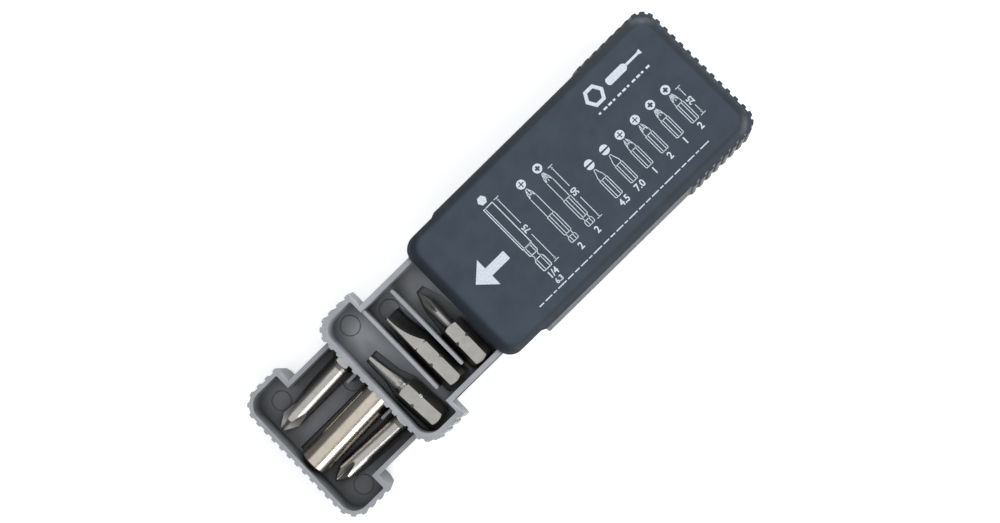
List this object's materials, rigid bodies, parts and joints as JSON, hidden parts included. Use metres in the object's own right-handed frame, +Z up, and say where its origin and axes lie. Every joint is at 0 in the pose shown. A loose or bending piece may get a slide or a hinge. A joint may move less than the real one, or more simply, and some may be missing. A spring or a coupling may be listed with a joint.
{
  "type": "screwdriver bit box",
  "caption": "Dark sleeve case with two stacked grey sliding drawers of driver bits and a magnetic bit holder, both drawers part open.",
  "frame": {"origin": "middle of the footprint with the drawers part open, on the surface the box lies on", "axes": "+X from the open mouth to the closed rear of the case, +Z up through the cover, +Y across"},
  "size_m": [0.154, 0.0462, 0.025],
  "materials": {
    "case_plastic": "dark blue-grey moulded plastic, fine satin grain",
    "drawer_plastic": "cool grey moulded plastic, fine matt grain",
    "bit_steel": "satin tool steel",
    "holder_steel": "bright nickel-plated, drawn lengthwise",
    "magnet_nickel": "nickel-plated magnet",
    "spring_steel": "plain spring wire"
  },
  "bodies": {
    "case": {"case_sleeve": "case_plastic"},
    "upper_drawer_body": {"upper_drawer": "drawer_plastic", "bit_phillips_2": "bit_steel", "bit_pozidriv_1": "bit_steel", "bit_pozidriv_2": "bit_steel"},
    "lower_drawer_body": {"lower_drawer": "drawer_plastic", "long_bit_phillips_2": "bit_steel", "long_bit_pozidriv_2": "bit_steel", "holder_sleeve": "holder_steel", "holder_shank": "bit_steel", "holder_magnet": "magnet_nickel", "holder_ring": "spring_steel"},
    "end_bit": {"bit_slotted_4_5": "bit_steel"},
    "wide_bit": {"bit_slotted_7_0": "bit_steel"},
    "cross_bit": {"bit_phillips_1": "bit_steel"}
  },
  "joints": [
    {"name": "upper_drawer_slide", "type": "slide", "parent": "case", "child": "upper_drawer_body", "axis": [-1, 0, 0], "range_m": [-0.0306, 0.032]},
    {"name": "lower_drawer_slide", "type": "slide", "parent": "case", "child": "lower_drawer_body", "axis": [-1, 0, 0], "range_m": [-0.0604, 0.003]},
    {"name": "end_bit_lift", "type": "slide", "parent": "upper_drawer_body", "child": "end_bit", "axis": [0, 0, 1], "range_m": [0, 0.015]},
    {"name": "wide_bit_lift", "type": "slide", "parent": "upper_drawer_body", "child": "wide_bit", "axis": [0, 0, 1], "range_m": [0, 0.015]},
    {"name": "cross_bit_lift", "type": "slide", "parent": "upper_drawer_body", "child": "cross_bit", "axis": [0, 0, 1], "range_m": [0, 0.015]}
  ]
}
